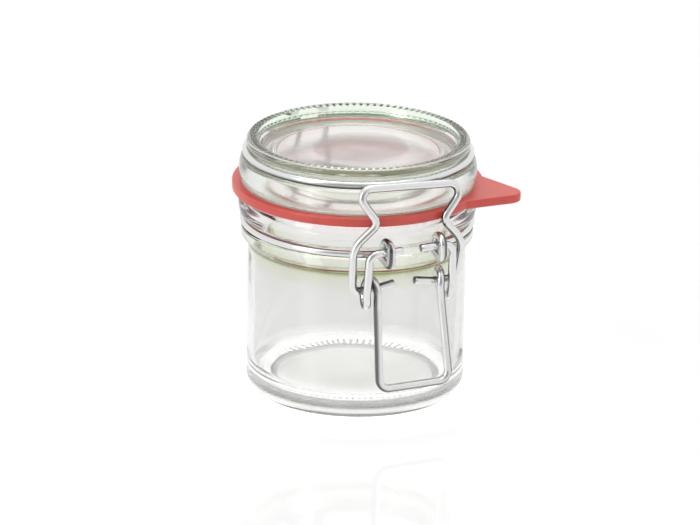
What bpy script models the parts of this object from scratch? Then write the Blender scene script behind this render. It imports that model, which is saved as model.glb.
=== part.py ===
"""Small clip-top preserving jar, empty and shut.

Pressed glass jar and lid, a rubber gasket with a pull tab between them, and four bent
wires: one round the neck, one round the lid, the lever and the bail. The jar stands on
the XY plane with its closure at -Y and its lid hinge at +Y. All sizes are in metres.
"""

import math

import bpy
from mathutils import Vector

# Wire and clearances
WIRE_RADIUS = 0.00125
GAP = 0.00025
RUN = WIRE_RADIUS + GAP

# Glass jar
BODY_RADIUS = 0.0340
WALL = 0.0027
HEEL_HEIGHT = 0.0040
FOOT_RADIUS = 0.0319
FOOT_INNER_RADIUS = 0.0262
PUNT_DEPTH = 0.0012
FLOOR_HEIGHT = 0.0042
FLOOR_CORNER = 0.0040
SHOULDER_FOOT = 0.0468
BEAD_RADIUS = 0.0361
BEAD_TOP = 0.0528
NECK_RADIUS = 0.0337
RIM_RADIUS = 0.0372
RIM_BOTTOM = 0.0562
RIM_TOP = 0.0638
RIM_MIDDLE = 0.0604
RIM_BULGE = 0.0080
MOUTH_RADIUS = 0.0296

# Rubber gasket
GASKET_RADIUS = 0.0390
GASKET_HOLE_RADIUS = 0.0312
GASKET_THICKNESS = 0.00275
TAB_ANGLE = math.radians(53)
TAB_REACH = 0.0513
TAB_TIP_RADIUS = 0.0045
TAB_ROOT_HALF_ANGLE = math.radians(19)

# Glass lid
LID_BOTTOM = RIM_TOP + GASKET_THICKNESS + 0.0006
LID_TOP = 0.0809
LID_FLANGE_RADIUS = 0.0371
LID_SHELF = 0.0747
LID_FLANGE_MIDDLE = 0.0712
LID_FLANGE_BULGE = 0.0080
LID_RING_RADIUS = 0.0346
LID_GROOVE_RADIUS = 0.0331
LID_GROOVE_TOP = LID_SHELF + 2 * RUN
LID_DISH_RADIUS = 0.0287
LID_DISH_DEPTH = 0.0037
LID_DISC = 0.0030
LENS_RADIUS = 0.0235
LENS_FLAT_RADIUS = 0.0185
LENS_DEPTH = 0.0011
LIP_RADIUS = 0.0302
LIP_DEPTH = 0.0015
LID_HOLLOW_RADIUS = 0.0280

# Wire round the neck: its ring, its two eyes at the front and its axle at the back
NECK_WIRE_RADIUS = 0.03525
NECK_WIRE_HEIGHT = 0.05440
RING_LEAVES_AT = math.radians(20)
EYE_X = 0.0087
EYE_BACK = 0.0378
EYE_FRONT = 0.0433
EYE_TOP = 0.0598
EYE_BOTTOM = 0.0523
EYE_END = 0.0561
AXLE_HALF_WIDTH = 0.0083
AXLE_STEP = 0.0392

# Lid hinge at the back, and the wire round the lid
HINGE_Y = 0.0430
HINGE_Z = 0.0615
HINGE_COIL_RADIUS = 2 * WIRE_RADIUS + GAP + 0.00005
HINGE_COIL_X = 0.0055
HINGE_COIL_PITCH = 0.00295
LID_WIRE_RADIUS = LID_GROOVE_RADIUS + RUN + 0.0001
LID_WIRE_HEIGHT = LID_SHELF + RUN
LID_WIRE_LEAVES_AT = math.radians(14)

# Lever: pivot pins in the eyes, a coil for the bail on each side, and the handle
LEVER_SLACK = -0.0007
HANDLE_SWAY = 0.0012
PIVOT_Y = -0.04055
PIVOT_Z = 0.0567
PIVOT_PIN_END = 0.0030
STRAND_TOP_X = 0.0139
STRAND_X = 0.0143
COIL_Y = -0.03655
COIL_Z = 0.0431
COIL_HALF_DEPTH = 0.00295
COIL_HALF_HEIGHT = 0.0044
COIL_PITCH = 0.0037
HANDLE_HALF_WIDTH = 0.0118
HANDLE_FRONT = 0.0420
HANDLE_FOOT = 0.0132

# Bail: pins in the coils, waisted legs, and the bar over the lid's shelf
BAIL_LEAN = math.radians(2.0)
BAIL_RACK = math.radians(3.2)
BAIL_PIN_Z = 0.0441
BAIL_PIN_END = 0.0034
BAIL_PIN_KICK = 0.0010
BAIL_FOOT_X = 0.0173
BAIL_HIP = (0.0184, 0.0380, 0.0576)
BAIL_WAIST = (0.0108, 0.0392, 0.0653)
BAIL_CORNER_X = 0.0193
BAIL_BAR_FRONT = 0.0375
BAIL_BAR_HEIGHT = 0.07605

TURN_STEPS = 48
ARC_STEP = math.radians(24)


def arc(centre_r, centre_z, radius, start, end, steps):
    """Points of a profile arc, in degrees from the outward direction, upwards positive."""
    angles = [math.radians(start + (end - start) * i / steps) for i in range(steps + 1)]
    return [(centre_r + radius * math.cos(a), centre_z + radius * math.sin(a)) for a in angles]


def bent(corners):
    """Centre line of a bent wire through (point, bend radius) corners; the two ends have no bend."""
    points = [Vector(corners[0][0])]
    for before, (corner, radius), after in zip(corners, corners[1:], corners[2:]):
        corner = Vector(corner)
        back = (Vector(before[0]) - corner).normalized()
        ahead = (Vector(after[0]) - corner).normalized()
        inside = back.angle(ahead)
        centre = corner + (back + ahead).normalized() * radius / math.sin(inside / 2)
        first = corner + back * radius / math.tan(inside / 2) - centre
        last = corner + ahead * radius / math.tan(inside / 2) - centre
        turn = math.pi - inside
        steps = max(2, math.ceil(turn / ARC_STEP))
        for i in range(steps + 1):
            share = i / steps
            swing = first * math.sin((1 - share) * turn) + last * math.sin(share * turn)
            points.append(centre + swing / math.sin(turn))
    points.append(Vector(corners[-1][0]))
    return points


def coil(centre_y, centre_z, half_depth, half_height, start, turn, x_start, x_end, steps):
    """One turn of wire round an axis along X; the angles start at +Y and grow towards +Z."""
    points = []
    for i in range(steps + 1):
        angle = start + turn * i / steps
        points.append(Vector((
            x_start + (x_end - x_start) * i / steps,
            centre_y + half_depth * math.cos(angle),
            centre_z + half_height * math.sin(angle),
        )))
    return points


def ring(radius, height, start, end, steps):
    """Part of a level circle, with its angle measured from +Y towards +X."""
    angles = [start + (end - start) * i / steps for i in range(steps + 1)]
    return [Vector((radius * math.sin(a), radius * math.cos(a), height)) for a in angles]


def off_ring(radius, leaves_at, x):
    """Y distance at which a wire that leaves a ring along its tangent reaches the given X."""
    return radius * math.cos(leaves_at) + (radius * math.sin(leaves_at) - x) * math.tan(leaves_at)


def both_sides(half):
    """A whole wire from the half at +X: out along the half, and back along its mirror image."""
    mirrored = [Vector((-p.x, p.y, p.z)) for p in half]
    same_middle = (half[-1] - mirrored[-1]).length < 1e-6
    return half + list(reversed(mirrored[:-1] if same_middle else mirrored))


def material(name, colour, roughness, metallic=0.0, transmission=0.0):
    made = bpy.data.materials.new(name)
    made.use_nodes = True
    made.diffuse_color = (*colour, 1.0)
    shader = made.node_tree.nodes["Principled BSDF"]
    shader.inputs["Base Color"].default_value = (*colour, 1.0)
    shader.inputs["Roughness"].default_value = roughness
    shader.inputs["Metallic"].default_value = metallic
    shader.inputs["Transmission Weight"].default_value = transmission
    return made


def empty(name, place, parent=None):
    """An empty at a place in the jar's own frame, under its parent empty."""
    made = bpy.data.objects.new(name, None)
    made.empty_display_size = 0.01
    parts.objects.link(made)
    made.parent = parent
    made.location = Vector(place) - (Vector(parent["place"]) if parent else Vector())
    made["place"] = tuple(place)
    return made


def add_part(name, data, finish, carrier):
    """A sub-part modelled in the jar's own frame, carried by an empty on its joint's axis."""
    made = bpy.data.objects.new(name, data)
    parts.objects.link(made)
    data.materials.append(finish)
    made.parent = carrier
    made.location = -Vector(carrier["place"])
    return made


def turned(name, profile, finish, carrier):
    """A glass piece turned from the profile of its section, given from axis to axis."""
    mesh = bpy.data.meshes.new(name)
    edges = [(i, i + 1) for i in range(len(profile) - 1)]
    mesh.from_pydata([(r, 0.0, z) for r, z in profile], edges, [])
    made = add_part(name, mesh, finish, carrier)
    screw = made.modifiers.new("Turn", "SCREW")
    screw.steps = TURN_STEPS
    screw.render_steps = TURN_STEPS
    screw.use_merge_vertices = True
    screw.merge_threshold = 0.00001
    screw.use_smooth_shade = True
    return made


def wire(name, points, finish, carrier):
    """A round wire along a centre line."""
    curve = bpy.data.curves.new(name, "CURVE")
    curve.dimensions = "3D"
    curve.bevel_depth = WIRE_RADIUS
    curve.bevel_resolution = 2
    curve.use_fill_caps = True
    spline = curve.splines.new("POLY")
    spline.points.add(len(points) - 1)
    for spline_point, place in zip(spline.points, points):
        spline_point.co = (*place, 1.0)
    return add_part(name, curve, finish, carrier)


def jar_glass(finish, carrier):
    inner = BODY_RADIUS - WALL
    top_edge = 0.0008
    bottom_edge = 0.0012
    profile = [(0.0, FLOOR_HEIGHT)]
    profile += arc(inner - FLOOR_CORNER, FLOOR_HEIGHT + FLOOR_CORNER, FLOOR_CORNER, -90, 0, 3)
    profile += [(inner, SHOULDER_FOOT - 0.0010), (MOUTH_RADIUS, BEAD_TOP)]
    profile += arc(MOUTH_RADIUS + top_edge, RIM_TOP - top_edge, top_edge, 180, 90, 2)
    profile += arc(RIM_RADIUS - 0.0004 - top_edge, RIM_TOP - top_edge, top_edge, 90, 13, 2)
    profile += arc(RIM_RADIUS - RIM_BULGE, RIM_MIDDLE, RIM_BULGE, 13, -9, 3)
    profile += arc(RIM_RADIUS - 0.0004 - bottom_edge, RIM_BOTTOM + bottom_edge, bottom_edge, -9, -75, 3)
    profile += [(NECK_RADIUS, RIM_BOTTOM - 0.0006), (NECK_RADIUS, BEAD_TOP + GAP)]
    profile += arc(BEAD_RADIUS - 0.0008, BEAD_TOP - 0.0008, 0.0008, 90, 0, 2)
    profile += arc(BODY_RADIUS - 0.0011, 0.0503, BEAD_RADIUS - BODY_RADIUS + 0.0011, 0, -50, 3)
    profile += [(BODY_RADIUS, SHOULDER_FOOT)]
    profile += [(BODY_RADIUS, HEEL_HEIGHT), (BODY_RADIUS - 0.0003, HEEL_HEIGHT - 0.0014)]
    profile += [(FOOT_RADIUS + 0.0005, 0.0004), (FOOT_RADIUS, 0.0)]
    profile += [(FOOT_INNER_RADIUS, 0.0), (FOOT_INNER_RADIUS - PUNT_DEPTH, PUNT_DEPTH)]
    profile += [(0.0, PUNT_DEPTH)]
    return turned("jar_glass", profile, finish, carrier)


def lid_glass(finish, carrier):
    edge = 0.0008
    dish = LID_TOP - LID_DISH_DEPTH
    ceiling = dish - LID_DISC
    corner = 0.0030
    profile = [(0.0, dish), (LID_DISH_RADIUS - 0.0009, dish), (LID_DISH_RADIUS + 0.0004, dish + 0.0006)]
    profile += [(LID_DISH_RADIUS + 0.0020, LID_TOP - 0.0006), (LID_DISH_RADIUS + 0.0030, LID_TOP)]
    profile += arc(LID_RING_RADIUS - edge, LID_TOP - edge, edge, 90, 0, 2)
    profile += [(LID_RING_RADIUS, LID_GROOVE_TOP + edge), (LID_RING_RADIUS - edge, LID_GROOVE_TOP)]
    profile += [(LID_GROOVE_RADIUS, LID_GROOVE_TOP), (LID_GROOVE_RADIUS, LID_SHELF)]
    profile += arc(LID_FLANGE_RADIUS - 0.00045 - edge, LID_SHELF - edge, edge, 90, 14, 2)
    profile += arc(LID_FLANGE_RADIUS - LID_FLANGE_BULGE, LID_FLANGE_MIDDLE, LID_FLANGE_BULGE, 14, -10, 3)
    profile += arc(LID_FLANGE_RADIUS - 0.00045 - edge, LID_BOTTOM + edge, edge, -10, -90, 2)
    profile += [(LIP_RADIUS, LID_BOTTOM), (LIP_RADIUS - 0.0002, LID_BOTTOM - LIP_DEPTH)]
    profile += [(LID_HOLLOW_RADIUS + 0.0004, LID_BOTTOM - LIP_DEPTH), (LID_HOLLOW_RADIUS, LID_BOTTOM)]
    profile += arc(LID_HOLLOW_RADIUS - corner - 0.0005, ceiling - corner, corner, 0, 90, 3)
    profile += [(LENS_RADIUS, ceiling), (LENS_FLAT_RADIUS, ceiling - 0.0007), (0.0, ceiling - LENS_DEPTH)]
    return turned("lid_glass", profile, finish, carrier)


def gasket(finish, carrier):
    """A flat ring whose outline runs out into a tapered, round-ended pull tab."""
    middle = GASKET_THICKNESS / 2 + RIM_TOP + 0.0003
    tip = TAB_REACH - TAB_TIP_RADIUS
    root_across = GASKET_RADIUS * math.sin(TAB_ROOT_HALF_ANGLE)
    root_along = GASKET_RADIUS * math.cos(TAB_ROOT_HALF_ANGLE)
    slant = math.atan2(tip - root_along, root_across)
    spread = slant + math.asin(TAB_TIP_RADIUS / math.hypot(tip - root_along, root_across))
    outline = []
    for i in range(9):
        angle = spread * (2 * i / 8 - 1)
        outline.append((tip + TAB_TIP_RADIUS * math.cos(angle), TAB_TIP_RADIUS * math.sin(angle)))
    sweep = 2 * (math.pi - TAB_ROOT_HALF_ANGLE)
    for i in range(61):
        angle = TAB_ROOT_HALF_ANGLE + sweep * i / 60
        outline.append((GASKET_RADIUS * math.cos(angle), GASKET_RADIUS * math.sin(angle)))
    heading = TAB_ANGLE - math.pi / 2
    turned_outline = [
        (a * math.cos(heading) - b * math.sin(heading), a * math.sin(heading) + b * math.cos(heading))
        for a, b in outline
    ]
    hole_angles = [2 * math.pi * i / TURN_STEPS for i in range(TURN_STEPS)]
    hole = [(GASKET_HOLE_RADIUS * math.cos(a), GASKET_HOLE_RADIUS * math.sin(a)) for a in hole_angles]

    curve = bpy.data.curves.new("gasket", "CURVE")
    curve.dimensions = "2D"
    curve.fill_mode = "BOTH"
    curve.extrude = GASKET_THICKNESS / 2
    for loop in (turned_outline, hole):
        spline = curve.splines.new("POLY")
        spline.points.add(len(loop) - 1)
        spline.use_cyclic_u = True
        for spline_point, (x, y) in zip(spline.points, loop):
            spline_point.co = (x, y, 0.0, 1.0)
    made = add_part("gasket", curve, finish, carrier)
    made.location.z += middle
    return made


def neck_wire(finish, carrier):
    """Half: axle at the back, out of the neck groove, round the neck, and the eye at the front."""
    z = NECK_WIRE_HEIGHT
    back_y = off_ring(NECK_WIRE_RADIUS, RING_LEAVES_AT, AXLE_HALF_WIDTH)
    round_neck = ring(NECK_WIRE_RADIUS, z, RING_LEAVES_AT, math.pi - RING_LEAVES_AT, 22)
    axle = bent([
        ((0.0, HINGE_Y, HINGE_Z), 0),
        ((AXLE_HALF_WIDTH, HINGE_Y, HINGE_Z), 0.0016),
        ((AXLE_HALF_WIDTH, AXLE_STEP, z), 0.0016),
        ((AXLE_HALF_WIDTH, back_y, z), 0.0016),
        (round_neck[0], 0),
    ])
    front_y = off_ring(NECK_WIRE_RADIUS, RING_LEAVES_AT, EYE_X)
    eye = bent([
        (round_neck[-1], 0),
        ((EYE_X, -front_y, z), 0.0016),
        ((EYE_X, -EYE_FRONT, EYE_BOTTOM), 0.0023),
        ((EYE_X, -EYE_FRONT, EYE_TOP), 0.0023),
        ((EYE_X, -EYE_BACK, EYE_TOP), 0.0022),
        ((EYE_X, -EYE_BACK, EYE_END), 0),
    ])
    half = axle[:-1] + round_neck + eye[1:]
    return wire("neck_wire", both_sides(list(reversed(half))), finish, carrier)


def lid_wire(finish, carrier):
    """Half: coil on the axle, up past the gasket, over the shelf, and round the lid's groove."""
    z = LID_WIRE_HEIGHT
    leg_y = HINGE_Y - HINGE_COIL_RADIUS
    shelf_y = off_ring(LID_WIRE_RADIUS, LID_WIRE_LEAVES_AT, HINGE_COIL_X)
    round_lid = ring(LID_WIRE_RADIUS, z, LID_WIRE_LEAVES_AT, math.pi, 26)
    r = HINGE_COIL_RADIUS
    inner_x = HINGE_COIL_X - HINGE_COIL_PITCH
    eye = coil(HINGE_Y, HINGE_Z, r, r, math.pi, -2 * math.pi, inner_x, HINGE_COIL_X, 14)
    leg = bent([
        (eye[-1], 0),
        ((HINGE_COIL_X, leg_y, z), 0.0018),
        ((HINGE_COIL_X, shelf_y, z), 0.0016),
        (round_lid[0], 0),
    ])
    half = eye + leg[1:-1] + round_lid
    return wire("lid_wire", both_sides(half), finish, carrier)


def lever(finish, carrier):
    """Half: pivot pin, outer strand, one turn round the bail's pin, leg and foot of the handle."""
    strand_y = COIL_Y - COIL_HALF_DEPTH
    loop = coil(COIL_Y, COIL_Z, COIL_HALF_DEPTH, COIL_HALF_HEIGHT, math.pi, 2 * math.pi,
                STRAND_X, STRAND_X - COIL_PITCH, 16)
    pin = bent([
        ((PIVOT_PIN_END, PIVOT_Y, PIVOT_Z), 0),
        ((STRAND_TOP_X, PIVOT_Y, PIVOT_Z), 0.0026),
        ((STRAND_X, strand_y - 0.0004, COIL_Z + 0.0030), 0.0060),
        (loop[0], 0),
    ])
    handle = bent([
        (loop[-1], 0),
        ((STRAND_X - COIL_PITCH + 0.0002, strand_y, COIL_Z - 0.0045), 0.0060),
        ((HANDLE_HALF_WIDTH, -HANDLE_FRONT, HANDLE_FOOT), 0.0032),
        ((0.0, -HANDLE_FRONT, HANDLE_FOOT), 0),
    ])
    half = pin[:-1] + loop + handle[1:]
    points = both_sides(half)
    for p in points:
        hanging = min(1.0, max(0.0, (COIL_Z - p.z) / (COIL_Z - HANDLE_FOOT)))
        p.x += LEVER_SLACK + HANDLE_SWAY * hanging
    return wire("lever", points, finish, carrier)


def bail(finish, carrier):
    """Half: kicked-up pin end, pin, bowed hip, waist in front of the gasket, corner and bar."""
    hip_x, hip_front, hip_z = BAIL_HIP
    waist_x, waist_front, waist_z = BAIL_WAIST
    half = bent([
        ((BAIL_PIN_END, COIL_Y, BAIL_PIN_Z + BAIL_PIN_KICK), 0),
        ((0.0095, COIL_Y, BAIL_PIN_Z), 0.0060),
        ((BAIL_FOOT_X, COIL_Y, BAIL_PIN_Z), 0.0024),
        ((hip_x, -hip_front, hip_z), 0.0080),
        ((waist_x, -waist_front, waist_z), 0.0026),
        ((BAIL_CORNER_X, -BAIL_BAR_FRONT, BAIL_BAR_HEIGHT), 0.0030),
        ((0.0, -BAIL_BAR_FRONT, BAIL_BAR_HEIGHT), 0),
    ])
    # The pins stay level on their axis, and the legs and the bar lean over to one side.
    hung = []
    for p in both_sides(half):
        leaning = min(1.0, max(0.0, (p.z - BAIL_PIN_Z) / (hip_z - BAIL_PIN_Z)))
        x = p.x - (BAIL_BAR_HEIGHT - p.z) * math.sin(BAIL_LEAN)
        z = p.z - p.x * math.sin(BAIL_RACK) * leaning
        hung.append(Vector((x, p.y, z)))
    return wire("bail", hung, finish, carrier)


for old in list(bpy.data.objects):
    bpy.data.objects.remove(old)

parts = bpy.data.collections.new("clip_top_jar")
bpy.context.scene.collection.children.link(parts)

tab_side = (TAB_REACH - TAB_TIP_RADIUS) * math.sin(TAB_ANGLE) + TAB_TIP_RADIUS
hinge_back = HINGE_Y + HINGE_COIL_RADIUS + WIRE_RADIUS
eye_front = EYE_FRONT + WIRE_RADIUS
footprint_centre = Vector(((tab_side - GASKET_RADIUS) / 2, (hinge_back - eye_front) / 2, 0))

jar_axis = empty("jar_axis", (0, 0, 0))
jar_axis.location = -footprint_centre
lid_hinge = empty("lid_hinge", (0, HINGE_Y, HINGE_Z), jar_axis)
lever_pivot = empty("lever_pivot", (0, PIVOT_Y, PIVOT_Z), jar_axis)
bail_pivot = empty("bail_pivot", (0, COIL_Y, BAIL_PIN_Z), lever_pivot)

clear_glass = material("clear_glass", (0.86, 0.90, 0.84), 0.03, transmission=1.0)
steel_wire = material("steel_wire", (0.62, 0.63, 0.62), 0.22, metallic=1.0)
red_rubber = material("red_rubber", (0.70, 0.035, 0.025), 0.5)

jar_glass(clear_glass, jar_axis)
neck_wire(steel_wire, jar_axis)
lid_glass(clear_glass, lid_hinge)
lid_wire(steel_wire, lid_hinge)
gasket(red_rubber, lid_hinge)
lever(steel_wire, lever_pivot)
bail(steel_wire, bail_pivot)
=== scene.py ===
"""Looks of a small clip-top preserving jar, empty and shut.

The sections follow the jar as it is put together: the pressed glass jar, the wire round
its neck, the rubber gasket, the glass lid, the wire round the lid, the lever and the
bail, and then the floor, the light and the camera. All sizes are in metres.
"""

import math
from itertools import accumulate

import bmesh
import bpy
import numpy as np
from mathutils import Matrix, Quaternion, Vector


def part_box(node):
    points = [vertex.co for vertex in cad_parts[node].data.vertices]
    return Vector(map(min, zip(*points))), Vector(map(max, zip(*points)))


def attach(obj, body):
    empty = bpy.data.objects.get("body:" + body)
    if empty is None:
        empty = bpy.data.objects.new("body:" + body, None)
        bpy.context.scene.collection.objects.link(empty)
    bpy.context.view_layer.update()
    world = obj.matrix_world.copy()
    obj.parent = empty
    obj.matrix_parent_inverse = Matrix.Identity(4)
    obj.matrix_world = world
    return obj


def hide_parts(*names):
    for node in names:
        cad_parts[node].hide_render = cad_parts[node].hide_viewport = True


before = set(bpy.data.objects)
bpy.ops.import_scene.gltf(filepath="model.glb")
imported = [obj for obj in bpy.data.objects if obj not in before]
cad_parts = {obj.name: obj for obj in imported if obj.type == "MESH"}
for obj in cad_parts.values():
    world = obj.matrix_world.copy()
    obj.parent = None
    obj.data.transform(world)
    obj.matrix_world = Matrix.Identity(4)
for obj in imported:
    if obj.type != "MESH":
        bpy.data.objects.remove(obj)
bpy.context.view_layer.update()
jar_low, jar_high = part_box("jar_glass")
axis_x = (jar_low.x + jar_high.x) / 2
axis_y = (jar_low.y + jar_high.y) / 2


# Glass jar
# Soda-lime glass pressed in a mould, clear with a faint green in its depth. The plunger
# leaves slow waves in the inner wall, and the foot is knurled where it stands.

BODY_RADIUS = 0.0340
BODY_INNER_RADIUS = 0.0313
FLOOR_HEIGHT = 0.0042
MOUTH_RADIUS = 0.0296
RIM_RADIUS = 0.0372
RIM_TOP = 0.0638
RIM_BOTTOM = 0.0562
NECK_RADIUS = 0.0337
BEAD_RADIUS = 0.0361
BEAD_TOP = 0.0528
SHOULDER_FOOT = 0.0474
FOOT_INNER_RADIUS = 0.0262
PUNT_DEPTH = 0.0012
LID_TOP = 0.0809
JAR_SECTIONS = 720
FOOT_DASHES = 90
FOOT_DASH_DEPTH = 0.00025
FOOT_SLANT = 8.0
FOOT_DASH_STARTS = (0.0264, 0.0268)
FOOT_DASH_ENDS = (0.0284, 0.0290)
FOOT_KNURL_RADIUS = 0.0277
FOOT_KNURL_HALF_WIDTH = 0.0010
FOOT_KNURL_TOP = 0.0008
WALL_WAVE = 0.00008
GLASS_IOR = 1.48
MERGED_WITHIN = 2e-7


def rounded(corners, arc_points=6):
    """Polyline through (point, bend radius) corners. Each corner becomes a circular arc
    tangent to both its sides, swept evenly between its two tangent points."""
    places = np.array([place for place, _ in corners], float)
    share = np.linspace(0, 1, arc_points)[:, None]
    pieces = [places[:1]]
    for before, corner, after, (_, radius) in zip(places, places[1:], places[2:], corners[1:]):
        back = (before - corner) / np.linalg.norm(before - corner)
        ahead = (after - corner) / np.linalg.norm(after - corner)
        half = math.acos(back @ ahead) / 2
        turn = math.pi - 2 * half
        middle = (back + ahead) / np.linalg.norm(back + ahead)
        centre = corner + middle * radius / math.sin(half)
        first = corner + back * radius / math.tan(half) - centre
        last = corner + ahead * radius / math.tan(half) - centre
        swing = first * np.sin((1 - share) * turn) + last * np.sin(share * turn)
        pieces.append(centre + swing / math.sin(turn))
    pieces.append(places[-1:])
    return np.concatenate(pieces)


def stations(path, spacing):
    """The path with points added along its straights, none further apart than the spacing."""
    walked = np.r_[0, np.cumsum(np.linalg.norm(np.diff(path, axis=0), axis=1))]
    kept = np.r_[True, np.diff(walked) > 1e-7]
    path, walked = path[kept], walked[kept]
    marks = np.unique(np.round(np.r_[walked, np.arange(0, walked[-1], spacing)], 7))
    apart = np.r_[True, np.diff(marks) > spacing * 0.04]
    marks = np.r_[marks[apart][:-1], walked[-1]]
    return np.stack([np.interp(marks, walked, column) for column in path.T], axis=1)


def turned(profile, sections):
    """Grid of a turned surface: (distance out, height) points of the profile, each one
    repeated at even angles round the jar's axis. Rows follow the profile."""
    angles = np.arange(sections) * 2 * math.pi / sections
    radius = profile[:, :1]
    height = np.broadcast_to(profile[:, 1:], (len(profile), sections))
    grid = np.stack([radius * np.cos(angles), radius * np.sin(angles), height], axis=-1)
    return grid, angles


def skin(name, grid):
    """Mesh over a grid whose columns close on themselves, with its first and last rows
    drawn to a point or joined to each other. The UV map holds the distance in metres from
    the nearer of those two rows, and turns round the grid."""
    rows, columns = grid.shape[:2]
    number = np.arange(rows * columns).reshape(rows, columns)
    number = np.concatenate([number, number[:, :1]], axis=1)
    corners = [number[:-1, :-1], number[:-1, 1:], number[1:, 1:], number[1:, :-1]]
    quads = np.stack(corners, axis=-1).reshape(-1)
    mesh = bpy.data.meshes.new(name)
    mesh.vertices.add(rows * columns)
    mesh.vertices.foreach_set("co", grid.astype(np.float32).reshape(-1))
    mesh.loops.add(quads.size)
    mesh.loops.foreach_set("vertex_index", quads.astype(np.int32))
    mesh.polygons.add(quads.size // 4)
    mesh.polygons.foreach_set("loop_start", np.arange(0, quads.size, 4, dtype=np.int32))
    mesh.update(calc_edges=True)

    walked = np.r_[0, np.cumsum(np.linalg.norm(np.diff(grid[:, 0], axis=0), axis=1))]
    from_end = np.minimum(walked, walked[-1] - walked)
    along = np.broadcast_to(from_end[:, None], number.shape)
    across = np.broadcast_to(np.arange(columns + 1) / columns, number.shape)
    pair = np.stack([along, across], axis=-1)
    per_corner = np.stack([pair[:-1, :-1], pair[:-1, 1:], pair[1:, 1:], pair[1:, :-1]], axis=2)
    layer = mesh.uv_layers.new(name="along")
    layer.data.foreach_set("uv", per_corner.astype(np.float32).reshape(-1))

    solid = bmesh.new()
    solid.from_mesh(mesh)
    bmesh.ops.remove_doubles(solid, verts=solid.verts, dist=MERGED_WITHIN)
    bmesh.ops.recalc_face_normals(solid, faces=solid.faces)
    solid.to_mesh(mesh)
    solid.free()
    mesh.shade_smooth()
    piece = bpy.data.objects.new(name, mesh)
    bpy.context.scene.collection.objects.link(piece)
    return piece


def smooth_step(value, start, end):
    """Rises from 0 to 1 between start and end, level at both."""
    share = np.clip((value - start) / (end - start), 0, 1)
    return share * share * (3 - 2 * share)


class Value:
    """An output socket of a material, on which arithmetic adds Math nodes."""

    def __init__(self, tree, socket):
        self.tree = tree
        self.socket = socket

    def node(self, kind, settings, inputs, output=0):
        """Adds a node: its settings first, then the values or links of its sockets."""
        made = self.tree.nodes.new("ShaderNode" + kind)
        for name, setting in settings.items():
            if name == "stops":
                stops = made.color_ramp.elements
                while len(stops) < len(setting):
                    stops.new(0.5)
                for stop, (place, colour) in zip(stops, setting):
                    stop.position = place
                    stop.color = (*colour, 1)
            else:
                setattr(made, name, setting)
        for name, value in inputs.items():
            if isinstance(value, Value):
                self.tree.links.new(value.socket, made.inputs[name])
            else:
                made.inputs[name].default_value = value
        return Value(self.tree, made.outputs[output])

    def feed(self, shader, name):
        self.tree.links.new(self.socket, shader.inputs[name])

    def math(self, operation, *values):
        return self.node("Math", {"operation": operation}, dict(enumerate(values)))

    def __add__(self, other):
        return self.math("ADD", self, other)

    def __mul__(self, other):
        return self.math("MULTIPLY", self, other)

    def __sub__(self, other):
        return self.math("SUBTRACT", self, other)

    def __rsub__(self, other):
        return self.math("SUBTRACT", other, self)

    __radd__ = __add__
    __rmul__ = __mul__


def finish(name, **constants):
    """A material and its Principled shader, with constants set on the shader's sockets,
    and its Object coordinates and its UV map to draw patterns from."""
    material = bpy.data.materials.new(name)
    material.use_nodes = True
    tree = material.node_tree
    shader = tree.nodes["Principled BSDF"]
    for socket, value in constants.items():
        shader.inputs[socket.replace("_", " ")].default_value = value
    coordinates = tree.nodes.new("ShaderNodeTexCoord").outputs
    return material, shader, Value(tree, coordinates["Object"]), Value(tree, coordinates["UV"])


def place(piece, material, body, slot, node):
    """Gives a finished piece its material, its place round the jar's axis and the body that it
    rides on, and hides the CAD node that it stands for."""
    shift = np.array((axis_x, axis_y, 0.0), np.float32)
    points = np.empty(len(piece.data.vertices) * 3, np.float32)
    piece.data.vertices.foreach_get("co", points)
    piece.data.vertices.foreach_set("co", (points.reshape(-1, 3) + shift).reshape(-1))
    piece.data.update()
    piece.data.materials.append(material)
    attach(piece, body)
    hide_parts(node)


def from_axis(place_on_piece):
    """Distance out from the jar's axis, in metres, and height, of a point on a piece."""
    level = {0: place_on_piece, 1: (axis_x, axis_y, 0)}
    centred = place_on_piece.node("VectorMath", {"operation": "SUBTRACT"}, level)
    flat = centred.node("VectorMath", {"operation": "MULTIPLY"}, {0: centred, 1: (1, 1, 0)})
    height = centred.node("SeparateXYZ", {}, {"Vector": centred}, "Z")
    return flat.node("VectorMath", {"operation": "LENGTH"}, {0: flat}, "Value"), height


def greys(*stops):
    """Stops of a colour ramp that holds one number at each place."""
    return {"stops": [(share, (level, level, level)) for share, level in stops]}


def knurl_shade(place_on_piece, dashes, slant, ring, levels):
    """How deep in a knurl's grooves a point is, 0 to 1: a cosine of its angle round the axis,
    slanted by its distance out, within a ring and a band of heights. Both of these are given
    by their middle and half width."""
    out, height = from_axis(place_on_piece)
    x = place_on_piece.node("SeparateXYZ", {}, {"Vector": place_on_piece}, "X") - axis_x
    y = place_on_piece.node("SeparateXYZ", {}, {"Vector": place_on_piece}, "Y") - axis_y
    phase = y.math("ARCTAN2", y, x) * dashes + (out - ring[0]) * slant
    groove = phase.math("COSINE", phase) * 1.6 + 0.3
    groove = groove.math("MINIMUM", groove.math("MAXIMUM", groove, 0.0), 1.0)
    return groove * out.math("COMPARE", out, *ring) * height.math("COMPARE", height, *levels)


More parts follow.
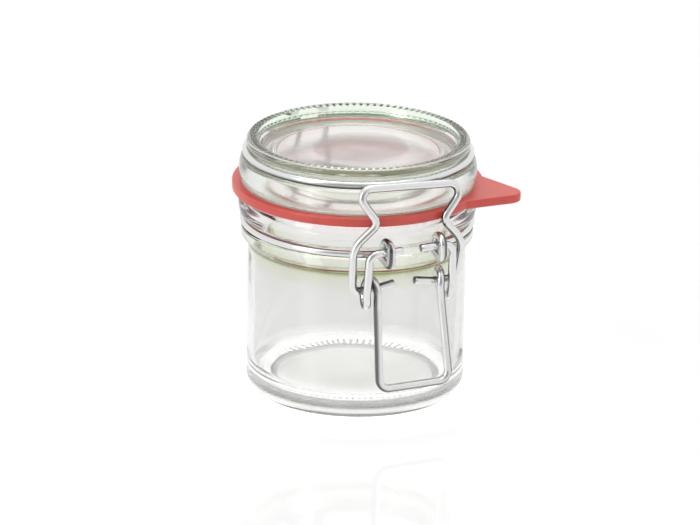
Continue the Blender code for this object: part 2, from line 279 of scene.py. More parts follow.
def pressed_glass(name, ripple_size, ripple_height, tints, uneven, haze, by_height, knurl):
    """Clear glass whose surface has the slow ripples of a mould and a few faint smears. Its
    tint follows the height, or else the distance from the axis, each as a share of the
    largest, and holds painted light and shade. The haze of its surface follows the height,
    and its knurl's grooves are painted near black, as painted shade."""
    material, shader, place_on_piece, _ = finish(name, Transmission_Weight=1.0, IOR=GLASS_IOR)
    out, height = from_axis(place_on_piece)
    share = height * (1 / LID_TOP) if by_height else out * (1 / RIM_RADIUS)
    flow = share.node("TexNoise", {}, {"Vector": place_on_piece, "Scale": 60.0, "Detail": 2.0})
    wandering = share + (flow - 0.5) * uneven
    tint = share.node("ValToRGB", {"stops": tints}, {"Fac": wandering})
    # The knurl's grooves are painted near black in the base colour: painted shade.
    grooves = knurl_shade(place_on_piece, *knurl)
    painted_groove_shade = {"Fac": grooves, "Color1": tint, "Color2": (0.002, 0.002, 0.002, 1)}
    tint.node("MixRGB", {}, painted_groove_shade).feed(shader, "Base Color")
    smears = share.node("TexNoise", {}, {"Vector": place_on_piece, "Scale": 45.0, "Detail": 3.0})
    dull = height.node("ValToRGB", haze, {"Fac": height * (1 / LID_TOP)})
    (smears.math("MAXIMUM", smears - 0.55, 0.0) * 0.12 + dull).feed(shader, "Roughness")
    slow = {"Vector": place_on_piece, "Scale": 1 / ripple_size, "Detail": 1.5}
    ripples = share.node("TexNoise", {}, slow)
    raised = {"Height": ripples, "Strength": 1.0, "Distance": ripple_height}
    ripples.node("Bump", {}, raised).feed(shader, "Normal")
    return material


jar_profile = stations(rounded([
    ((0.0, FLOOR_HEIGHT + 0.0004), 0),
    ((0.0180, FLOOR_HEIGHT), 0.0600),
    ((BODY_INNER_RADIUS, FLOOR_HEIGHT), 0.0055),
    ((BODY_INNER_RADIUS, SHOULDER_FOOT - 0.0012), 0.0040),
    ((MOUTH_RADIUS - 0.0004, BEAD_TOP), 0.0060),
    ((MOUTH_RADIUS + 0.0010, RIM_TOP), 0.0012),
    ((RIM_RADIUS - 0.0008, RIM_TOP), 0.0012),
    ((RIM_RADIUS, 0.0604), 0.0080),
    ((RIM_RADIUS - 0.0007, RIM_BOTTOM), 0.0015),
    ((NECK_RADIUS, RIM_BOTTOM - 0.0006), 0.0005),
    ((NECK_RADIUS, BEAD_TOP + 0.0003), 0.0004),
    ((BEAD_RADIUS, BEAD_TOP), 0.0008),
    ((BEAD_RADIUS, 0.0499), 0.0012),
    ((BODY_RADIUS, SHOULDER_FOOT), 0.0020),
    ((BODY_RADIUS, 0.0032), 0.0030),
    ((BODY_RADIUS - 0.0018, 0.0), 0.0007),
    ((FOOT_INNER_RADIUS, 0.0), 0.0004),
    ((FOOT_INNER_RADIUS - PUNT_DEPTH, PUNT_DEPTH), 0.0006),
    ((0.0, PUNT_DEPTH), 0),
]), 0.0034)
jar_grid, around = turned(jar_profile, JAR_SECTIONS)
out = np.hypot(jar_grid[..., 0], jar_grid[..., 1])
up = jar_grid[..., 2]
# The plunger's waves: a few slow swells round the inner wall that fade towards the rim.
inner_wall = (out < BODY_INNER_RADIUS + 0.0002) & (up > FLOOR_HEIGHT + 0.003)
swell = np.sin(3 * around + 0.4) + 0.7 * np.sin(7 * around + 1.9 + up * 60)
swell = swell + 0.5 * np.sin(12 * around + 4.0)
fade = 1 - smooth_step(up, 0.040, 0.054)
jar_grid[..., :2] *= (1 + inner_wall * fade * WALL_WAVE * swell / np.maximum(out, 0.01))[..., None]
# The knurl: short slanted dashes pressed up into the foot's standing ring.
on_foot = smooth_step(out, *FOOT_DASH_STARTS) * (1 - smooth_step(out, *FOOT_DASH_ENDS))
on_foot = on_foot * (up < FOOT_KNURL_TOP)
slanted = around + (out - FOOT_KNURL_RADIUS) * FOOT_SLANT
dashes = smooth_step(np.cos(FOOT_DASHES * slanted), -0.2, 0.6)
jar_grid[..., 2] += FOOT_DASH_DEPTH * on_foot * dashes

# By height: the heel, the wall, a dark olive band on the shoulder under the bead, the neck,
# and the rim. The olive band is the glass's own green in its depth, deepened with painted
# shade, and the rim's pink is painted light from the red gasket above it.
jar_tints = [
    (0.00, (0.99, 0.99, 0.97)), (0.04, (0.97, 0.97, 0.95)),
    (0.08, (0.83, 0.832, 0.825)), (0.50, (0.82, 0.825, 0.81)),
    (0.570, (0.73, 0.76, 0.62)), (0.580, (0.42, 0.46, 0.24)),
    (0.592, (0.42, 0.46, 0.22)), (0.602, (0.80, 0.84, 0.68)),
    (0.64, (0.91, 0.915, 0.88)), (0.72, (0.93, 0.93, 0.92)),
    (0.766, (0.95, 0.92, 0.915)), (0.778, (0.93, 0.80, 0.79)),
]
# The mould leaves the foot and the heel slightly frosted.
jar_haze = greys((0.0, 0.10), (0.025, 0.14), (0.05, 0.30), (0.09, 0.20), (0.13, 0.0))
# The foot's knurl grooves are painted dark in the glass, as painted shade.
foot_ring = (FOOT_KNURL_RADIUS, FOOT_KNURL_HALF_WIDTH)
foot_knurl = (FOOT_DASHES, FOOT_DASHES * FOOT_SLANT, foot_ring, (0.0, FOOT_KNURL_TOP))
jar_finish = pressed_glass(
    "clear_glass_jar", ripple_size=0.012, ripple_height=0.00006, tints=jar_tints,
    uneven=0.0, haze=jar_haze, by_height=True, knurl=foot_knurl,
)
jar = skin("glass_jar", jar_grid)
place(jar, jar_finish, "jar", "clear_glass", "jar_glass")


# Neck wire
# Bright drawn steel wire, laid in the groove under the rim. Its ends are bent up into two
# eyes at the front for the lever, and at the back it steps out into the lid's axle.

WIRE_RADIUS = 0.00125
GAP = 0.00025
NECK_WIRE_RADIUS = 0.03525
NECK_WIRE_HEIGHT = 0.05440
RING_LEAVES_AT = math.radians(20)
EYE_X = 0.0087
EYE_BACK = 0.0378
EYE_FRONT = 0.0433
EYE_TOP = 0.0598
EYE_BOTTOM = 0.0523
EYE_END = 0.0561
AXLE_HALF_WIDTH = 0.0083
AXLE_STEP = 0.0392
HINGE_Y = 0.0430
HINGE_Z = 0.0615
WIRE_SIDES = 20
CUT_END_OUT = (0.0, 0.72, 0.93, 1.0)
CUT_END_BACK = (0.0, 0.0, 0.09, 0.30)


def round_ring(radius, height, start, end, steps):
    """Part of a level circle, its angle measured from +Y towards +X."""
    angles = np.linspace(start, end, steps)
    level = np.full(steps, height)
    return np.stack([radius * np.sin(angles), radius * np.cos(angles), level], axis=1)


def one_turn(centre, half_depth, half_height, start, turn, x_start, x_end, steps=40):
    """One turn of wire round an axis along X: an ellipse drawn out along X as it goes round."""
    angles = np.linspace(start, start + turn, steps)
    y = centre[0] + half_depth * np.cos(angles)
    z = centre[1] + half_height * np.sin(angles)
    return np.stack([np.linspace(x_start, x_end, steps), y, z], axis=1)


def off_ring(radius, leaves_at, x):
    """Y distance at which a wire that leaves a ring along its tangent reaches the given X."""
    return radius * math.cos(leaves_at) + (radius * math.sin(leaves_at) - x) * math.tan(leaves_at)


def both_sides(half):
    """A whole wire: out along the half at +X, and back along its mirror image."""
    return np.concatenate([half, (half * (-1, 1, 1))[::-1]])


def wire(name, path, line_at, line_faces):
    """A round wire: a circle carried along the path without twisting, as its frame is
    turned at each point only as far as the path turns. Its cut ends are rounded off, in
    shares of its radius. The first column of its skin, where the painted dark reflection
    runs, faces the way line_faces at the point of the path nearest line_at."""
    path = stations(path, 0.0012)
    heading = np.gradient(path, axis=0)
    heading /= np.linalg.norm(heading, axis=1)[:, None]
    first_side = np.cross(heading[0], (0.3, 0.5, 0.8))
    carried = accumulate(
        heading[1:], lambda side, ahead: side - ahead * (side @ ahead), initial=first_side
    )
    side = np.array(list(carried))
    side /= np.linalg.norm(side, axis=1)[:, None]
    other = np.cross(heading, side)
    nearest = np.linalg.norm(path - line_at, axis=1).argmin()
    first_angle = math.atan2(other[nearest] @ line_faces, side[nearest] @ line_faces)
    edge = np.array(CUT_END_OUT) * WIRE_RADIUS
    back = np.array(CUT_END_BACK)[:, None] * WIRE_RADIUS
    near_end = path[0] + heading[0] * back
    far_end = path[-1] - heading[-1] * back
    repeats = np.r_[len(edge), np.ones(len(path) - 2, int), len(edge)]
    side = np.repeat(side, repeats, axis=0)
    other = np.repeat(other, repeats, axis=0)
    radius = np.r_[edge, np.full(len(path) - 2, WIRE_RADIUS), edge[::-1]]
    path = np.concatenate([near_end, path[1:-1], far_end[::-1]])
    angles = first_angle + np.arange(WIRE_SIDES) * 2 * math.pi / WIRE_SIDES
    round_it = side[:, None] * np.cos(angles)[:, None] + other[:, None] * np.sin(angles)[:, None]
    return skin(name, path[:, None] + radius[:, None, None] * round_it)


def drawn_steel(name):
    """Bright drawn wire: fine draw lines along its length, slightly duller patches, dark cut
    ends, and one broad dark line painted along one side, a painted dark reflection."""
    material, shader, _, on_wire = finish(name, Metallic=1.0)
    length = on_wire.node("SeparateXYZ", {}, {"Vector": on_wire}, "X")
    turn = on_wire.node("SeparateXYZ", {}, {"Vector": on_wire}, "Y")
    draw_lines = length.node("CombineXYZ", {}, {"X": length * 90.0, "Y": turn * 26.0})
    lines = length.node("TexNoise", {}, {"Vector": draw_lines, "Scale": 1.0, "Detail": 3.0})
    spots = length.node("CombineXYZ", {}, {"X": length * 420.0, "Y": turn * 3.0})
    patches = length.node("TexNoise", {}, {"Vector": spots, "Scale": 1.0, "Detail": 2.0})
    (0.10 + patches * 0.14 + lines * 0.05).feed(shader, "Roughness")
    cut_end = [(0.0, (0.25, 0.25, 0.25)), (0.90, (0.30, 0.30, 0.30)), (1.0, (0.74, 0.745, 0.74))]
    metal = length.node("ValToRGB", {"stops": cut_end}, {"Fac": length * (1 / WIRE_RADIUS)})
    # A broad dark line painted along one side of the wire, where its first column runs: a painted
    # dark reflection.
    from_line = turn.math("PINGPONG", turn, 0.5) + (lines - 0.5) * 0.05
    painted_line_stops = greys((0.0, 0.14), (0.05, 0.20), (0.13, 1.0))
    painted_dark_line = length.node("ValToRGB", painted_line_stops, {"Fac": from_line})
    both = {"Fac": 1.0, "Color1": metal, "Color2": painted_dark_line}
    length.node("MixRGB", {"blend_type": "MULTIPLY"}, both).feed(shader, "Base Color")
    relief = lines.node("Bump", {}, {"Height": lines, "Strength": 0.35, "Distance": 0.00004})
    relief.feed(shader, "Normal")
    return material


neck_back = off_ring(NECK_WIRE_RADIUS, RING_LEAVES_AT, AXLE_HALF_WIDTH)
neck_front = off_ring(NECK_WIRE_RADIUS, RING_LEAVES_AT, EYE_X)
neck_ring = round_ring(
    NECK_WIRE_RADIUS, NECK_WIRE_HEIGHT, RING_LEAVES_AT, math.pi - RING_LEAVES_AT, 90
)
axle = rounded([
    ((0.0, HINGE_Y, HINGE_Z), 0),
    ((AXLE_HALF_WIDTH, HINGE_Y, HINGE_Z), 0.0016),
    ((AXLE_HALF_WIDTH, AXLE_STEP, NECK_WIRE_HEIGHT), 0.0016),
    ((AXLE_HALF_WIDTH, neck_back, NECK_WIRE_HEIGHT), 0.0016),
    (neck_ring[0], 0),
], 14)
eye = rounded([
    (neck_ring[-1], 0),
    ((EYE_X, -neck_front, NECK_WIRE_HEIGHT), 0.0016),
    ((EYE_X, -EYE_FRONT, EYE_BOTTOM), 0.0023),
    ((EYE_X, -EYE_FRONT, EYE_TOP), 0.0023),
    ((EYE_X, -EYE_BACK, EYE_TOP), 0.0022),
    ((EYE_X, -EYE_BACK, EYE_END), 0),
], 14)
neck_half = np.concatenate([axle[:-1], neck_ring, eye[1:]])
steel = drawn_steel("drawn_steel")
# line_at and line_faces turn the wire's painted dark reflection down and towards the front.
neck_wire = wire(
    "wire_round_neck", both_sides(neck_half[::-1]),
    line_at=(0.0203, -0.0288, NECK_WIRE_HEIGHT), line_faces=(0.0, -0.4, -0.9),
)
place(neck_wire, steel, "jar", "steel_wire", "neck_wire")


# Gasket
# A flat ring stamped from coral red rubber, with a tapered pull tab. It sits round the
# lid's lip, between the two glass rims, and its cut edges are very slightly rounded.

GASKET_RADIUS = 0.0390
GASKET_HOLE_RADIUS = 0.0312
GASKET_THICKNESS = 0.00275
GASKET_CLEAR = 0.0003
GASKET_EDGE = 0.00045
GASKET_TOP = RIM_TOP + GASKET_CLEAR + GASKET_THICKNESS
DUSTY_RADIUS = 0.0362
DUSTY_DEPTH = 0.0003
DUSTY_TONE = (0.68, 0.62, 0.52, 1)
# Colour of the rubber's painted glow.
PAINTED_GLOW_RED = (0.9, 0.14, 0.10, 1)
TAB_ANGLE = math.radians(53)
TAB_REACH = 0.0513
TAB_TIP_RADIUS = 0.0045
TAB_ROOT_HALF_ANGLE = math.radians(19)


def gasket_outline():
    """The ring's outer edge from one side of the tab round to the other, and then the tab:
    straight sides that touch a small circle at its tip. The tab points along +X."""
    sweep = np.linspace(TAB_ROOT_HALF_ANGLE, 2 * math.pi - TAB_ROOT_HALF_ANGLE, 300)
    circle = np.stack([GASKET_RADIUS * np.cos(sweep), GASKET_RADIUS * np.sin(sweep)], axis=1)
    tip = TAB_REACH - TAB_TIP_RADIUS
    across = GASKET_RADIUS * math.sin(TAB_ROOT_HALF_ANGLE)
    along = GASKET_RADIUS * math.cos(TAB_ROOT_HALF_ANGLE)
    slant = math.atan2(tip - along, across)
    spread = slant + math.asin(TAB_TIP_RADIUS / math.hypot(tip - along, across))
    fan = np.linspace(-spread, spread, 30)
    nose = np.stack([tip + TAB_TIP_RADIUS * np.cos(fan), TAB_TIP_RADIUS * np.sin(fan)], axis=1)
    return np.concatenate([circle, nose, circle[:1]])


outline = stations(gasket_outline(), 0.0009)[:-1]
turn = TAB_ANGLE - math.pi / 2
to_tab = ((math.cos(turn), math.sin(turn)), (-math.sin(turn), math.cos(turn)))
outline = outline @ np.array(to_tab)
reach = np.linalg.norm(outline, axis=1)
hole = outline * (GASKET_HOLE_RADIUS / reach)[:, None]
half_thick = GASKET_THICKNESS / 2
quarter = np.linspace(0, math.pi / 2, 5)
round_off = GASKET_EDGE * np.stack([np.sin(quarter) - 1, np.cos(quarter) - 1], axis=1)
straight = np.linspace(0.08, 0.92, 9)
# One section through the rubber, from the hole over the top to the outer edge and back
# underneath: how far from hole to edge, how far inside that, and the height.
over = np.concatenate([
    np.stack([np.zeros(5), -round_off[::-1, 0], half_thick + round_off[::-1, 1]], axis=1),
    np.stack([straight, np.zeros(9), np.full(9, half_thick)], axis=1),
    np.stack([np.ones(5), round_off[:, 0], half_thick + round_off[:, 1]], axis=1),
])
section = np.concatenate([over, over[::-1] * (1, 1, -1)])
outwards = outline / reach[:, None]
across, outside, above = section[:, None, :1], section[:, None, 1:2], section[:, None, 2:]
flat = hole[None] * (1 - across) + outline[None] * across + outwards[None] * outside
level = np.broadcast_to(above, (*flat.shape[:2], 1)) + RIM_TOP + GASKET_CLEAR + half_thick
gasket_grid = np.concatenate([flat, level], axis=-1)
gasket_grid = np.concatenate([gasket_grid, gasket_grid[:1]])

# The rubber's faint red emission is painted light: a glow standing in for the light that
# reaches the rubber through the glass and that the rubber lets through. It is left off where
# the lid's flange bears on the rubber.
red_rubber, rubber, on_gasket, _ = finish(
    "red_rubber", Specular_IOR_Level=0.7, Subsurface_Weight=0.15,
    Subsurface_Radius=(0.002, 0.0006, 0.0004), Subsurface_Scale=1.0, Emission_Strength=0.11,
)
bloom = on_gasket.node("TexNoise", {}, {"Vector": on_gasket, "Scale": 160.0, "Detail": 4.0})
grain = on_gasket.node("TexNoise", {}, {"Vector": on_gasket, "Scale": 2600.0, "Detail": 2.0})
reds = [(0.3, (0.43, 0.040, 0.030)), (0.7, (0.51, 0.058, 0.042))]
red = bloom.node("ValToRGB", {"stops": reds}, {"Fac": bloom})
# Where the lid's flange bears on it, the rubber is dusty with dried bloom.
rubber_out, rubber_up = from_axis(on_gasket)
dusty = rubber_out.math("LESS_THAN", rubber_out, DUSTY_RADIUS)
dusty = dusty * rubber_up.math("GREATER_THAN", rubber_up, GASKET_TOP - DUSTY_DEPTH)
tone = red.node("MixRGB", {}, {"Fac": dusty, "Color1": red, "Color2": DUSTY_TONE})
tone.feed(rubber, "Base Color")
# The painted glow: red emission everywhere but the dusty top under the flange.
painted_glow = {"Fac": dusty, "Color1": PAINTED_GLOW_RED, "Color2": (0, 0, 0, 1)}
dusty.node("MixRGB", {}, painted_glow).feed(rubber, "Emission Color")
(0.30 + bloom * 0.16).feed(rubber, "Roughness")
pores = {"Height": grain, "Strength": 0.3, "Distance": 0.00004}
grain.node("Bump", {}, pores).feed(rubber, "Normal")
gasket = skin("rubber_gasket", gasket_grid)
place(gasket, red_rubber, "lid", "red_rubber", "gasket")


# Glass lid
# Pressed from the same glass: a flange that meets the gasket, a groove for the lid's
# wire, a ring with a knurled top, a sunk dish inside it, and a locating lip underneath.

LID_BOTTOM = RIM_TOP + GASKET_THICKNESS + 2 * GASKET_CLEAR
LID_FLANGE_RADIUS = 0.0371
LID_SHELF = 0.0747
LID_RING_RADIUS = 0.0346
LID_GROOVE_RADIUS = 0.0331
LID_GROOVE_TOP = LID_SHELF + 2 * (WIRE_RADIUS + GAP)
LID_DISH_RADIUS = 0.0296
LID_DISH = LID_TOP - 0.0037
LID_CEILING = LID_DISH - 0.0030
LIP_RADIUS = 0.0302
LIP_DEPTH = 0.0015
LID_HOLLOW_RADIUS = 0.0280
LID_SECTIONS = 576
LID_DASHES = 96
LID_DASH_DEPTH = 0.0007
LID_DASH_STARTS = (0.0314, 0.0318)
LID_DASH_ENDS = (0.0332, 0.0336)
LID_KNURL_RADIUS = 0.0326
LID_KNURL_HALF_WIDTH = 0.0009
LID_KNURL_DEPTH = 0.0012
LENS_WANDER = 0.0001

lid_profile = stations(rounded([
    ((0.0, LID_DISH), 0),
    ((LID_DISH_RADIUS, LID_DISH), 0.0016),
    ((LID_DISH_RADIUS + 0.0018, LID_TOP), 0.0010),
    ((LID_RING_RADIUS, LID_TOP), 0.0013),
    ((LID_RING_RADIUS, LID_GROOVE_TOP), 0.0009),
    ((LID_GROOVE_RADIUS, LID_GROOVE_TOP), 0.0003),
    ((LID_GROOVE_RADIUS, LID_SHELF), 0.0004),
    ((LID_FLANGE_RADIUS - 0.0009, LID_SHELF), 0.0010),
    ((LID_FLANGE_RADIUS, 0.0712), 0.0080),
    ((LID_FLANGE_RADIUS - 0.0007, LID_BOTTOM), 0.0012),
    ((LIP_RADIUS, LID_BOTTOM), 0.0003),
    ((LIP_RADIUS - 0.0002, LID_BOTTOM - LIP_DEPTH), 0.0005),
    ((LID_HOLLOW_RADIUS + 0.0006, LID_BOTTOM - LIP_DEPTH), 0.0005),
    ((LID_HOLLOW_RADIUS - 0.0018, LID_CEILING), 0.0020),
    ((0.0235, LID_CEILING), 0.0100),
    ((0.0165, LID_CEILING - 0.0002), 0.0100),
    ((0.0, LID_CEILING - 0.0004), 0),
]), 0.0016)
lid_grid, around = turned(lid_profile, LID_SECTIONS)
out = np.hypot(lid_grid[..., 0], lid_grid[..., 1])
up = lid_grid[..., 2]
# The plunger left the lens under the disc a little uneven, so its step wanders in and out.
under_disc = (up < LID_DISH - 0.002) & (out < 0.0265)
wander = 0.5 * np.sin(2 * around + 0.9) + 0.3 * np.sin(3 * around + 2.2)
wander = wander + 0.25 * np.sin(5 * around + 0.3)
step = smooth_step(out, 0.0150, 0.0210) * (1 - smooth_step(out, 0.0225, 0.0262))
lid_grid[..., 2] += under_disc * step * LENS_WANDER * wander
# The knurl: rounded dashes pressed down into the top of the ring.
on_top = smooth_step(out, *LID_DASH_STARTS) * (1 - smooth_step(out, *LID_DASH_ENDS))
on_top = on_top * (up > LID_TOP - LID_KNURL_DEPTH)
dashes = smooth_step(np.cos(LID_DASHES * around), -1.0, 1.0)
lid_grid[..., 2] -= LID_DASH_DEPTH * on_top * dashes

# By distance out: the lens, the step round it, the rest of the disc, the ring and the flange.
# The pink-grey of the lens and the pink of the disc are painted shade and painted pink light
# from the red gasket seen through the glass, and the green of the ring and the flange is the
# glass's own, painted stronger to stand in for light that the thick glass bends.
lid_tints = [
    (0.00, (0.73, 0.645, 0.64)), (0.38, (0.75, 0.67, 0.665)),
    (0.41, (0.98, 0.97, 0.965)), (0.55, (0.98, 0.97, 0.965)),
    (0.59, (0.92, 0.835, 0.83)), (0.70, (0.94, 0.88, 0.87)),
    (0.78, (0.97, 0.95, 0.94)), (0.83, (0.84, 0.93, 0.80)),
    (0.93, (0.84, 0.93, 0.80)), (0.96, (0.90, 0.94, 0.88)),
]
# By height: the lip is frosted, the flange and the underside less so, and the top is clear.
lid_haze = greys(
    (0.0, 0.40), (0.830, 0.40), (0.840, 0.13), (0.930, 0.13), (0.940, 0.07), (0.955, 0.08),
    (0.965, 0.0),
)
# The ring's knurl grooves are painted dark in the glass, as painted shade.
lid_ring = (LID_KNURL_RADIUS, LID_KNURL_HALF_WIDTH)
lid_knurl = (LID_DASHES, 0.0, lid_ring, (LID_TOP, LID_KNURL_DEPTH))
lid_finish = pressed_glass(
    "clear_glass_lid", ripple_size=0.014, ripple_height=0.00006, tints=lid_tints,
    uneven=0.20, haze=lid_haze, by_height=False, knurl=lid_knurl,
)
lid = skin("glass_lid", lid_grid)
place(lid, lid_finish, "lid", "clear_glass", "lid_glass")


# Lid wire
# The same wire, laid in the lid's groove. At the back both its ends come out over the
# shelf, go down behind the gasket and close in a coil round the axle.

HINGE_COIL_RADIUS = 2 * WIRE_RADIUS + GAP + 0.00005
HINGE_COIL_X = 0.0055
HINGE_COIL_PITCH = 0.00295
LID_WIRE_RADIUS = LID_GROOVE_RADIUS + WIRE_RADIUS + GAP + 0.0001
LID_WIRE_HEIGHT = LID_SHELF + WIRE_RADIUS + GAP
LID_WIRE_LEAVES_AT = math.radians(14)

lid_loop = round_ring(LID_WIRE_RADIUS, LID_WIRE_HEIGHT, LID_WIRE_LEAVES_AT, math.pi, 100)
lid_loop_leaves = off_ring(LID_WIRE_RADIUS, LID_WIRE_LEAVES_AT, HINGE_COIL_X)
hinge_coil = one_turn(
    (HINGE_Y, HINGE_Z), HINGE_COIL_RADIUS, HINGE_COIL_RADIUS, math.pi, -2 * math.pi,
    HINGE_COIL_X - HINGE_COIL_PITCH, HINGE_COIL_X,
)
hinge_leg = rounded([
    (hinge_coil[-1], 0),
    ((HINGE_COIL_X, HINGE_Y - HINGE_COIL_RADIUS, LID_WIRE_HEIGHT), 0.0018),
    ((HINGE_COIL_X, lid_loop_leaves, LID_WIRE_HEIGHT), 0.0016),
    (lid_loop[0], 0),
], 14)
lid_half = np.concatenate([hinge_coil, hinge_leg[1:-1], lid_loop[:-1]])
# Its painted dark reflection faces down and towards the front.
lid_wire = wire(
    "wire_round_lid", both_sides(lid_half),
    line_at=(0.0, -LID_WIRE_RADIUS, LID_WIRE_HEIGHT), line_faces=(0.0, -0.8, -0.6),
)
place(lid_wire, steel, "lid", "steel_wire", "lid_wire")


# Lever
# One wire bent into the lever: pins that turn in the neck wire's eyes, a strand and one
# coil on each side to hold the bail, and a long loop for a handle, squeezed askew by hand.

LEVER_SLACK = -0.0007
HANDLE_SWAY = 0.0012
PIVOT_Y = -0.04055
PIVOT_Z = 0.0567
PIVOT_PIN_END = 0.0030
STRAND_TOP_X = 0.0139
STRAND_X = 0.0143
COIL_Y = -0.03655
COIL_Z = 0.0431
COIL_HALF_DEPTH = 0.00295
COIL_HALF_HEIGHT = 0.0044
COIL_PITCH = 0.0037
HANDLE_HALF_WIDTH = 0.0118
HANDLE_FRONT = 0.0420
HANDLE_FOOT = 0.0132

strand_y = COIL_Y - COIL_HALF_DEPTH
coil = one_turn(
    (COIL_Y, COIL_Z), COIL_HALF_DEPTH, COIL_HALF_HEIGHT, math.pi, 2 * math.pi,
    STRAND_X, STRAND_X - COIL_PITCH,
)
strand = rounded([
    ((PIVOT_PIN_END, PIVOT_Y, PIVOT_Z), 0),
    ((STRAND_TOP_X, PIVOT_Y, PIVOT_Z), 0.0026),
    ((STRAND_X, strand_y - 0.0004, COIL_Z + 0.0030), 0.0060),
    (coil[0], 0),
], 14)
handle = rounded([
    (coil[-1], 0),
    ((STRAND_X - COIL_PITCH + 0.0002, strand_y, COIL_Z - 0.0045), 0.0060),
    ((HANDLE_HALF_WIDTH, -HANDLE_FRONT, HANDLE_FOOT), 0.0032),
    ((0.0, -HANDLE_FRONT, HANDLE_FOOT), 0),
], 14)
lever_path = both_sides(np.concatenate([strand[:-1], coil, handle[1:-1]]))
hanging = np.clip((COIL_Z - lever_path[:, 2]) / (COIL_Z - HANDLE_FOOT), 0, 1)
lever_path[:, 0] += LEVER_SLACK + HANDLE_SWAY * hanging
# Its painted dark reflection faces down and towards the front.
lever = wire(
    "lever_wire", lever_path,
    line_at=(0.0, -HANDLE_FRONT, HANDLE_FOOT), line_faces=(0.0, -0.64, -0.77),
)
place(lever, steel, "lever", "steel_wire", "lever")


# Bail
# The last wire: pins in the lever's coils, bowed legs drawn in to a waist in front of the
# gasket, and a bar that bears on the lid's shelf. It leans a little to one side.

BAIL_LEAN = math.radians(2.0)
BAIL_RACK = math.radians(3.2)
BAIL_PIN_Z = 0.0441
BAIL_PIN_END = 0.0034
BAIL_PIN_KICK = 0.0010
BAIL_FOOT_X = 0.0173
BAIL_HIP = (0.0184, -0.0380, 0.0576)
BAIL_WAIST = (0.0108, -0.0392, 0.0653)
BAIL_CORNER = (0.0193, -0.0375, 0.07605)

bail_half = rounded([
    ((BAIL_PIN_END, COIL_Y, BAIL_PIN_Z + BAIL_PIN_KICK), 0),
    ((0.0095, COIL_Y, BAIL_PIN_Z), 0.0060),
    ((BAIL_FOOT_X, COIL_Y, BAIL_PIN_Z), 0.0024),
    (BAIL_HIP, 0.0080),
    (BAIL_WAIST, 0.0026),
    (BAIL_CORNER, 0.0030),
    ((0.0, *BAIL_CORNER[1:]), 0),
], 16)
bail_path = both_sides(bail_half[:-1])
below_bar = BAIL_CORNER[2] - bail_path[:, 2]
leaning = np.clip((bail_path[:, 2] - BAIL_PIN_Z) / (BAIL_HIP[2] - BAIL_PIN_Z), 0, 1)
bail_path[:, 2] -= bail_path[:, 0] * math.sin(BAIL_RACK) * leaning
bail_path[:, 0] -= below_bar * math.sin(BAIL_LEAN)
# Its painted dark reflection faces down and towards the front.
bail = wire(
    "bail_wire", bail_path, line_at=(0.0, *BAIL_CORNER[1:]), line_faces=(0.0, -0.3, -0.95)
)
place(bail, steel, "bail", "steel_wire", "bail")


# Floor and light
# A plain white glossy table top under a pale studio: even light from above, the back and
# the sides, two soft panels, and a dimmer part of the room towards the front.

AIM = Vector((axis_x, axis_y, 0.040))
VIEW_AZIMUTH = math.radians(-25.2)
VIEW_ELEVATION = math.radians(19.22)
towards_camera = Vector((
    math.sin(VIEW_AZIMUTH) * math.cos(VIEW_ELEVATION),
    -math.cos(VIEW_AZIMUTH) * math.cos(VIEW_ELEVATION),
    math.sin(VIEW_ELEVATION),
))

FLOOR_REACH = 6.0
FLOOR_FRONT = 1.2
FLOOR_CORNERS = 192

floor_mesh = bpy.data.meshes.new("table_top")
floor_turn = np.linspace(0, 2 * math.pi, FLOOR_CORNERS, endpoint=False)
floor_edge = FLOOR_REACH * np.stack([np.sin(floor_turn), -np.cos(floor_turn)], axis=1)
# Past the table's front edge, which the camera doesn't see, the room is darker.
ahead = np.array((math.sin(VIEW_AZIMUTH), -math.cos(VIEW_AZIMUTH)))
beyond = np.maximum(floor_edge @ ahead - FLOOR_FRONT, 0)
floor_edge = floor_edge - beyond[:, None] * ahead
floor_edge = np.column_stack([floor_edge, np.zeros(FLOOR_CORNERS)])
floor_mesh.from_pydata(floor_edge.tolist(), [], [list(range(FLOOR_CORNERS))])
floor = bpy.data.objects.new("table_top", floor_mesh)
bpy.context.scene.collection.objects.link(floor)
table_white, table, on_table, _ = finish(
    "table_white", Base_Color=(0.785, 0.785, 0.785, 1), Roughness=0.05, IOR=1.44,
    Emission_Strength=1.0,
)
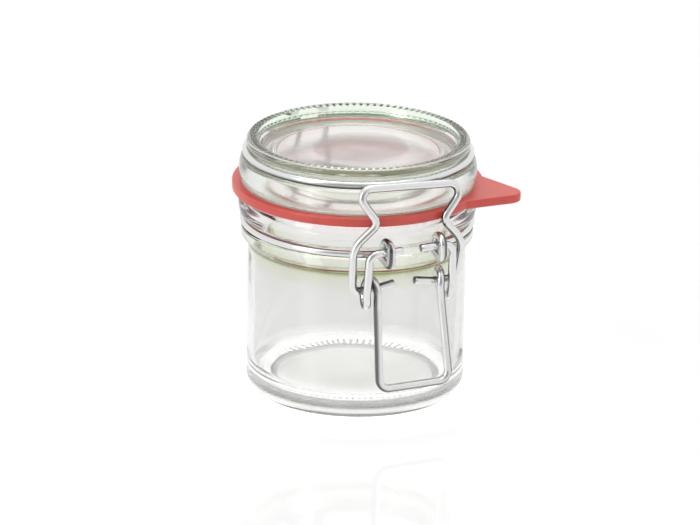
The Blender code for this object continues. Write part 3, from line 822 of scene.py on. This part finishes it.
# The table top's emission is painted light: a glow round the jar that fills in its shadow
# and lights the floor seen through its base, nearly gone from a fifth of a metre out.
from_jar, _ = from_axis(on_table)
glow = greys((0.0, 1.12), (0.155, 0.95), (0.19, 0.56), (0.26, 0.20), (0.50, 0.07), (1.0, 0.03))
from_jar.node("ValToRGB", glow, {"Fac": from_jar * 5.0}).feed(table, "Emission Color")
floor_mesh.materials.append(table_white)

world = bpy.data.worlds.new("pale_studio")
bpy.context.scene.world = world
world.use_nodes = True
studio = world.node_tree
sky = studio.nodes["Background"]
direction = Value(studio, studio.nodes.new("ShaderNodeTexCoord").outputs["Generated"])
front = Vector((towards_camera.x, towards_camera.y, 0.0)).normalized()
ways = {0: direction, 1: front}
facing = direction.node("VectorMath", {"operation": "DOT_PRODUCT"}, ways, "Value")
dimmer = greys((0.0, 1.0), (0.80, 1.0), (0.94, 0.40))
facing.node("ValToRGB", dimmer, {"Fac": facing * 0.5 + 0.5}).feed(sky, "Color")
sky.inputs["Strength"].default_value = 1.0


def soft_panel(name, offset, size, power):
    """A soft light panel, placed by its offset from the point aimed at, which it faces."""
    light = bpy.data.lights.new(name, "AREA")
    light.shape = "RECTANGLE"
    light.size, light.size_y = size
    light.energy = power
    panel = bpy.data.objects.new(name, light)
    bpy.context.scene.collection.objects.link(panel)
    panel.location = AIM + Vector(offset)
    panel.rotation_euler = (-Vector(offset)).to_track_quat("-Z", "Y").to_euler()


soft_panel("top_panel", (0.05, 0.15, 1.1), (0.9, 0.9), 4.0)
soft_panel("left_panel", (-1.0, -0.25, 0.45), (0.35, 0.9), 3.0)


# Camera
# A long lens a little above the rim, turned slightly to the left of the closure.

DISTANCE = 1.8
LENS = 297.3
ROLL = math.radians(0.98)
ASIDE = -0.00199894
LOWER = -0.00063518

camera_data = bpy.data.cameras.new("camera")
camera = bpy.data.objects.new("camera", camera_data)
bpy.context.scene.collection.objects.link(camera)
camera_data.sensor_width = 36
camera_data.lens = LENS
camera_data.clip_end = 50
looking = towards_camera.to_track_quat("Z", "Y") @ Quaternion((0, 0, 1), ROLL)
off_centre = looking @ Vector((ASIDE, LOWER, 0))
camera.location = AIM + off_centre + towards_camera * DISTANCE
camera.rotation_euler = looking.to_euler()
bpy.context.scene.camera = camera
bpy.context.scene.view_settings.view_transform = "Standard"
